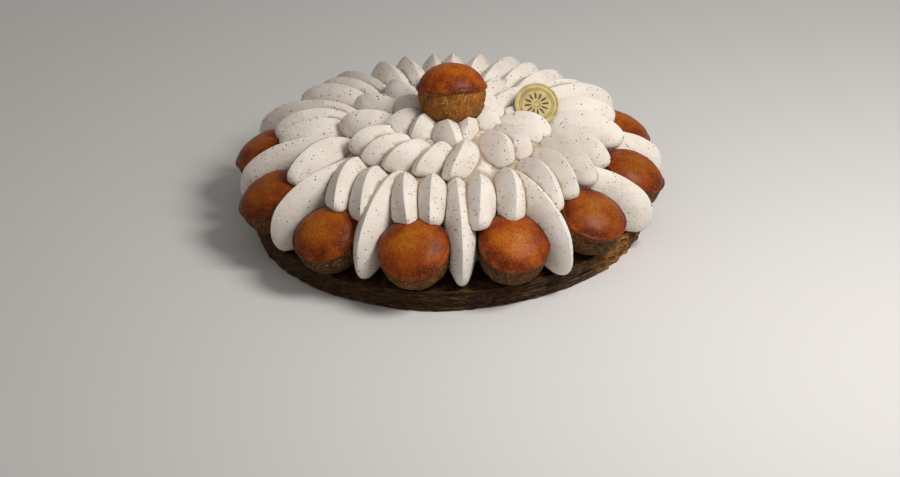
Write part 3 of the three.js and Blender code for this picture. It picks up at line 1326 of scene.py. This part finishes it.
@dataclass
class PipedCream:
    """The vanilla cream: a hidden body and rings of petals piped over it."""

    floor: float = 12.3
    stations: int = 44
    crowding: float = 1.4
    width: float = 0.05
    rise: float = 0.8
    ends: tuple[float, float] = (0.003, 0.997)
    thinnest: float = 0.03
    upright_at: float = -12.0
    upright_half: float = 20.0
    behind_from: float = 85.0
    behind_over: float = 40.0
    # How sharp a crease gets full painted shade, and how far that painted shade spreads.
    full_fold: float = 1.2
    fold_spread: float = 0.5
    fold_reach: float = 2.5
    sharp_from: float = 38.0
    core: Profile = (
        (0, 0), (85, 0), (89, 4), (89, 29), (86, 35.5), (80, 38), (62, 39), (52, 43.5), (38, 47),
        (27, 50.5), (0, 52.5))
    crest: Profile = (
        (0, 1), (0.04, 0.985), (0.2, 0.91), (0.4, 0.8), (0.6, 0.66), (0.8, 0.46), (1, 0.15))
    blunt_crest: Profile = (
        (0, 1), (0.25, 0.985), (0.5, 0.94), (0.75, 0.83), (0.92, 0.6), (1, 0.15))
    keel: Profile = ((0, 0), (0.45, 0.02), (0.8, 0.06), (1, 0.15))

    def strokes(self) -> bpy.types.Object:
        """Draws the line that each petal's ridge follows.

        Returns:
            A wire for each petal, whose points keep the keel under them, the way across the
            petal, their share of its length, its half width, form and number.
        """
        lines: list[np.ndarray] = []
        kept: dict[str, list[np.ndarray]] = {}
        edges: list[tuple[int, int]] = []
        steps = 1 - (1 - np.arange(self.stations + 1) / self.stations) ** self.crowding
        share = np.clip(steps, *self.ends)
        for ring, petal in ((ring, Petal(*spec)) for ring in RINGS for spec in ring.petals):
            number = len(lines)
            ridge, keel, across = self.path(ring, petal, number, share)
            first = number * (self.stations + 1)
            edges += [(first + i, first + i + 1) for i in range(self.stations)]
            lines.append(ridge)
            own = {"half": (ring.half * (1 + self.width * uneven(number, 1)) * MM
                            * petal.fullness),
                   "widest": ring.widest,
                   "blunt": ring.blunt if petal.blunt is None else petal.blunt,
                   "arch": ring.arch, "stroke": float(number)}
            values = {"ridge": ridge * MM, "keel": keel * MM, "across": across, "share": share,
                      **{key: np.full(len(share), value) for key, value in own.items()}}
            for key, value in values.items():
                kept.setdefault(key, []).append(value)
        mesh = bpy.data.meshes.new("strokes")
        mesh.from_pydata((np.concatenate(lines) * MM).tolist(), edges, [])
        for key, parts in kept.items():
            values = np.concatenate(parts)
            wide = values.ndim == 2
            layer = mesh.attributes.new(key, "FLOAT_VECTOR" if wide else "FLOAT", "POINT")
            layer.data.foreach_set("vector" if wide else "value", values.ravel())
        return linked("strokes", mesh)

    def path(self, ring: Ring, petal: Petal, number: int,
             share: np.ndarray) -> tuple[np.ndarray, np.ndarray, np.ndarray]:
        """Follows one petal from its root to its tip.

        Args:
            ring: The ring that it is in.
            petal: Its own line of the ring's table.
            number: Its number, ring by ring.
            share: Shares of its length.

        Returns:
            The ridge and the keel in millimetres, and the unit vector across the petal.
        """
        rise = self.rise * uneven(number, 2) - petal.drop
        last = len(ring.ridge) - 1
        line = [(r + petal.reach * i / last, z + rise * (1 - i / last))
                for i, (r, z) in enumerate(ring.ridge)]
        ridge = along_spline(line, share)
        root, tip = np.array(line[0], float), np.array(line[-1], float)
        keel = root + (tip - root) * share[:, None]
        sway = 0.9 * np.sin(share * math.pi) * np.array(
            [noise.noise(Vector((2.3 * s, 1.7 * number, 4.0))) for s in share])

        def around(flat: np.ndarray) -> tuple[np.ndarray, np.ndarray]:
            """Turns radius and height into a place, and gives the way across there.

            Args:
                flat: Radius and height of each point.

            Returns:
                The places and the unit vectors.
            """
            part = (flat[:, 0] - root[0]) / (tip[0] - root[0])
            turn = np.radians(petal.root + (petal.tip - petal.root) * part - 90)
            way = np.stack([-np.sin(turn), np.cos(turn), np.zeros(len(turn))], axis=1)
            spot = np.stack([flat[:, 0] * np.cos(turn), flat[:, 0] * np.sin(turn), flat[:, 1]],
                            axis=1)
            return spot, way

        ridge_at, _ = around(ridge)
        keel_at, _ = around(keel)
        _, across = around((ridge + keel) / 2)
        upright = math.exp(-(off_from(petal.tip, self.upright_at) / self.upright_half) ** 2)
        past = abs(off_from(petal.tip, 0)) - self.behind_from
        behind = min(max(past / self.behind_over, 0.0), 1.0)
        sway += ring.lean * (1 - upright) * (1 - behind) * np.sin(share * math.pi) ** 0.6
        return ridge_at + across * sway[:, None], keel_at, across

    def nozzle(self, material: bpy.types.Material) -> Growth:
        """Builds the tree that pipes every petal along its line and fuses them.

        Args:
            material: The cream's finish.

        Returns:
            The tree, which starts from the strokes.
        """
        growth = Growth("piped_petals", {
            "Section points": ("NodeSocketInt", 36),
            "Swell": ("NodeSocketFloat", 0.5),
            "Ridge fades from": ("NodeSocketFloat", 0.66),
            "Crest gathering": ("NodeSocketFloat", 1.5),
            "Ripple": ("NodeSocketFloat", 0.5 * MM),
            "Ripple size": ("NodeSocketFloat", 110.0),
            "Material": ("NodeSocketMaterial", material)})
        rail = growth.node("GeometryNodeMeshToCurve", {"Mesh": growth.entry.outputs[0]})
        circle = growth.node("GeometryNodeCurvePrimitiveCircle", {
            "Resolution": growth.given("Section points"), "Radius": 1.0})
        place = growth.spot()
        section = growth.node("GeometryNodeStoreNamedAttribute", {
            "Geometry": circle.outputs[0], "Name": "round", "Value": place},
            data_type="FLOAT_VECTOR", domain="POINT")
        swept = growth.node("GeometryNodeCurveToMesh", {
            "Curve": rail.outputs[0], "Profile Curve": section.outputs[0],
            "Fill Caps": True})
        shaped = growth.node("GeometryNodeSetPosition", {
            "Geometry": swept.outputs[0], "Position": self.surface(growth)})

        blots = growth.node("ShaderNodeTexNoise", {
            "Vector": place, "Scale": growth.given("Ripple size"), "Detail": 1.5})
        depth = growth.maths("MULTIPLY", growth.maths("SUBTRACT", blots.outputs["Fac"], 0.5),
                             growth.given("Ripple"))
        normal = growth.node("GeometryNodeInputNormal").outputs[0]
        wavy = growth.node("GeometryNodeSetPosition", {
            "Geometry": shaped.outputs[0], "Offset": growth.vector("SCALE", normal, depth)})

        apart = growth.node("GeometryNodeSplitToInstances", {
            "Geometry": wavy.outputs[0], "Group ID": growth.attribute("stroke")},
            domain="POINT")
        fused = growth.node("GeometryNodeMeshBoolean", {"Mesh 2": apart.outputs["Instances"]},
                            operation="UNION", solver="MANIFOLD")
        growth.close(fused.outputs["Mesh"])
        return growth

    def surface(self, growth: Growth) -> bpy.types.NodeSocket:
        """Works out where each point of a petal's skin is.

        Args:
            growth: The tree, whose points keep their place on a round section as well.

        Returns:
            The position: between keel and ridge, and out to the side by the petal's fullness.
        """
        maths, given, read = growth.maths, growth.given, growth.attribute
        apart = growth.node("ShaderNodeSeparateXYZ", {0: read("round", "FLOAT_VECTOR")})
        out = maths("POWER", maths("ABSOLUTE", apart.outputs[0]), given("Crest gathering"))
        side = maths("MULTIPLY", maths("SIGN", apart.outputs[0]), out)
        upper = maths("GREATER_THAN", apart.outputs[1], 0.0)
        share, widest = read("share"), read("widest")

        fading = growth.ramp(share, given("Ridge fades from"), 1.0)
        rounded = maths("MAXIMUM", fading, read("arch"))
        sharp, round_over = growth.curve(out, self.crest), growth.curve(out, self.blunt_crest)
        crest = maths("ADD", sharp,
                      maths("MULTIPLY", rounded, maths("SUBTRACT", round_over, sharp)))
        high = maths("MULTIPLY", upper, crest)
        low = maths("MULTIPLY", maths("SUBTRACT", 1.0, upper), growth.curve(out, self.keel))
        height = maths("ADD", high, low)

        early = maths("DIVIDE", maths("MINIMUM", share, widest), widest)
        swell = maths("POWER", maths("SINE", maths("MULTIPLY", early, math.pi / 2)),
                      given("Swell"))
        late = maths("DIVIDE", maths("SUBTRACT", maths("MAXIMUM", share, widest), widest),
                     maths("SUBTRACT", 1.0, widest))
        taper = maths("POWER", maths("SUBTRACT", 1.0, maths("MULTIPLY", late, late)),
                      read("blunt"))
        full = maths("MAXIMUM", maths("MULTIPLY", swell, taper), self.thinnest)
        reach = maths("MULTIPLY", maths("MULTIPLY", side, read("half")), full)

        between = growth.node("ShaderNodeMix", {
            0: height, 4: read("keel", "FLOAT_VECTOR"), 5: read("ridge", "FLOAT_VECTOR")},
            data_type="VECTOR")
        aside = growth.vector("SCALE", read("across", "FLOAT_VECTOR"), reach)
        return growth.vector("ADD", between.outputs[1], aside)

    def build(self, beds: Sequence[bpy.types.Object]) -> list[bpy.types.Object]:
        """Pipes the cream and scatters its vanilla seeds.

        Args:
            beds: Forms that cut the cream clear of what sits in it, which are used up.

        Returns:
            The cream and its seeds.
        """
        material = CreamFinish().build()
        wires = self.strokes()
        cream = self.nozzle(material).grow("piped_cream", wires)
        discard(wires)
        points, faces = turned([(r, z + self.floor) for r, z in self.core], 72)
        combine(cream, mesh_object("core", points, faces), "UNION")
        combine(cream, joined("beds", beds), "DIFFERENCE")
        for bed in beds:
            discard(bed)
        keep_largest(cream)
        self.mark_folds(cream)
        cream.data.materials.clear()
        cream.data.materials.append(material)
        cream.data.shade_smooth()
        cream.data.set_sharp_from_angle(angle=math.radians(self.sharp_from))
        return [cream, self.seeds(cream)]

    def mark_folds(self, cream: bpy.types.Object) -> None:
        """Keeps on each point how much painted shade it gets for lying in a crease between two
        petals.

        Args:
            cream: The cream, whose points get it as the attribute fold.
        """
        work = bmesh.new()
        work.from_mesh(cream.data)
        fold_shade = work.verts.layers.float.new("fold_shade")
        for edge in work.edges:
            if edge.is_manifold and not edge.is_convex:
                turn = edge.calc_face_angle(0.0)
                for vert in edge.verts:
                    vert[fold_shade] = max(vert[fold_shade], min(turn / self.full_fold, 1.0))
        work.verts.index_update()
        old = [vert[fold_shade] for vert in work.verts]
        for vert in work.verts:
            around = max((old[edge.other_vert(vert).index] for edge in vert.link_edges
                          if edge.calc_length() < self.fold_reach * MM), default=0.0)
            vert[fold_shade] = max(old[vert.index], self.fold_spread * around)
        work.to_mesh(cream.data)
        work.free()

    def seeds(self, cream: bpy.types.Object) -> bpy.types.Object:
        """Scatters vanilla seeds over the cream's skin.

        Args:
            cream: The finished cream.

        Returns:
            All the seeds as one mesh.
        """
        material = FlakeFinish("vanilla_seed", 0x0C0806, 0x2A2019, 1.5).build()
        growth = Growth("vanilla_seeds", {
            "Per square metre": ("NodeSocketFloat", 27000.0),
            "Radius": ("NodeSocketFloat", 0.52 * MM),
            "Lowest": ("NodeSocketFloat", 20 * MM),
            "Seed": ("NodeSocketInt", 3),
            "Material": ("NodeSocketMaterial", material)})
        height = growth.node("ShaderNodeSeparateXYZ", {0: growth.spot()}).outputs[2]
        seen = growth.maths("GREATER_THAN", height, growth.given("Lowest"))
        growth.strew_grains(seen, (0.35, 0.35, 0.25), (1.2, 1.0, 0.5))
        return growth.grow("vanilla_seeds", cream)


# ------------------------------------------------------------------------------------ studio


@dataclass(frozen=True)
class SoftLight:
    """One soft lamp: where it is in metres, how wide, how strong and how warm."""

    name: str
    at: tuple[float, float, float]
    size: float
    power: float
    tint: Colour


@dataclass
class Studio:
    """The floor, the lamps and the camera."""

    camera_at: tuple[float, float, float] = (-0.000403, -1.8517, 1.0139)
    pitch: float = 29.1409
    roll: float = -1.8131
    lens: float = 138.914
    sky: Colour = (0.93, 0.89, 0.85)
    sky_strength: float = 0.275
    exposure: float = 0.0
    sensor: float = 36.0
    aim: Triple = (0.0, 0.0, 0.04)
    floor_half: float = 3000.0
    floor_gap: float = 0.2
    lamps: tuple[SoftLight, ...] = (
        SoftLight("key", (0.38, -0.24, 0.56), 0.28, 3.75, (1.0, 0.97, 0.93)),
        SoftLight("fill", (-0.9, -1.0, 0.7), 1.2, 0.35, (0.95, 0.96, 1.0)),
        SoftLight("front", (0.9, -1.0, 0.65), 0.5, 0.9, (1.0, 0.97, 0.93)),
    )

    def build(self) -> None:
        """Sets up the floor, the lamps, the sky and the camera."""
        half, low = self.floor_half, -self.floor_gap
        corners = [[-half, -half, low], [half, -half, low], [half, half, low],
                   [-half, half, low]]
        floor = mesh_object("floor", np.array(corners), [[0, 1, 2, 3]])
        floor.data.materials.append(StudioFinish().build())
        for lamp in self.lamps:
            self.hang(lamp)
        world = bpy.data.worlds.new("sky")
        world.use_nodes = True
        ground = world.node_tree.nodes["Background"]
        ground.inputs["Color"].default_value = (*self.sky, 1.0)
        ground.inputs["Strength"].default_value = self.sky_strength
        bpy.context.scene.world = world
        colours = bpy.context.scene.view_settings
        colours.view_transform = "Standard"
        colours.exposure = self.exposure
        self.stand_camera()

    def hang(self, lamp: SoftLight) -> None:
        """Hangs a lamp so that it faces the cake.

        Args:
            lamp: The lamp.
        """
        data = bpy.data.lights.new(lamp.name, "AREA")
        data.shape = "DISK"
        data.size = lamp.size
        data.energy = lamp.power
        data.color = lamp.tint
        thing = linked(lamp.name, data)
        thing.location = lamp.at
        aim = Vector(self.aim) - Vector(lamp.at)
        thing.rotation_euler = aim.to_track_quat("-Z", "Y").to_euler()

    def stand_camera(self) -> None:
        """Stands the camera where the photograph was taken from."""
        pitch, roll = math.radians(self.pitch), math.radians(self.roll)
        back = Vector((0, -math.cos(pitch), math.sin(pitch)))
        right = Vector((1, 0, 0))
        up = back.cross(right)
        side = math.cos(roll) * right + math.sin(roll) * up
        top = -math.sin(roll) * right + math.cos(roll) * up
        data = bpy.data.cameras.new("camera")
        data.lens = self.lens
        data.sensor_width = self.sensor
        thing = linked("camera", data)
        turn = Matrix((side, top, back)).transposed().to_4x4()
        thing.matrix_world = Matrix.Translation(self.camera_at) @ turn
        bpy.context.scene.camera = thing


# ------------------------------------------------------------------------------------ the cake


def serve(piece: bpy.types.Object, slot: Slot, *nodes: str) -> None:
    """Puts a finished piece on the cake.

    Args:
        piece: The piece.
        slot: The record's finish that it takes; not used.
        nodes: The solids that it stands for.
    """
    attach(piece, ROOT)
    if nodes:
        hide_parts(*nodes)
    LOG.info("%s: %d faces", piece.name, len(piece.data.polygons))


def main() -> None:
    """Builds the cake, sets up the studio and notes the sizes."""
    logging.basicConfig(level=logging.INFO, format="%(name)s %(message)s")
    pastry, *flakes = PuffPastry().build()
    serve(pastry, Slot.PASTRY, "pastry_base")
    for flake in flakes:
        serve(flake, Slot.PASTRY)

    choux = Choux()
    *buns, crumbs = choux.build()
    for number, bun in enumerate(buns):
        serve(bun, Slot.CHOUX, choux.node(number))
    serve(crumbs, Slot.CHOUX)

    gilt = GiltDisc()
    disc, rosette = gilt.build()
    serve(disc, Slot.PLAQUE, "plaque")
    serve(rosette, Slot.PLAQUE)

    cream, seeds = PipedCream().build(choux.cutters() + [gilt.cutter()])
    serve(cream, Slot.CREAM, "cream")
    serve(seeds, Slot.CREAM)

    Studio().build()


if __name__ == "__main__":
    main()
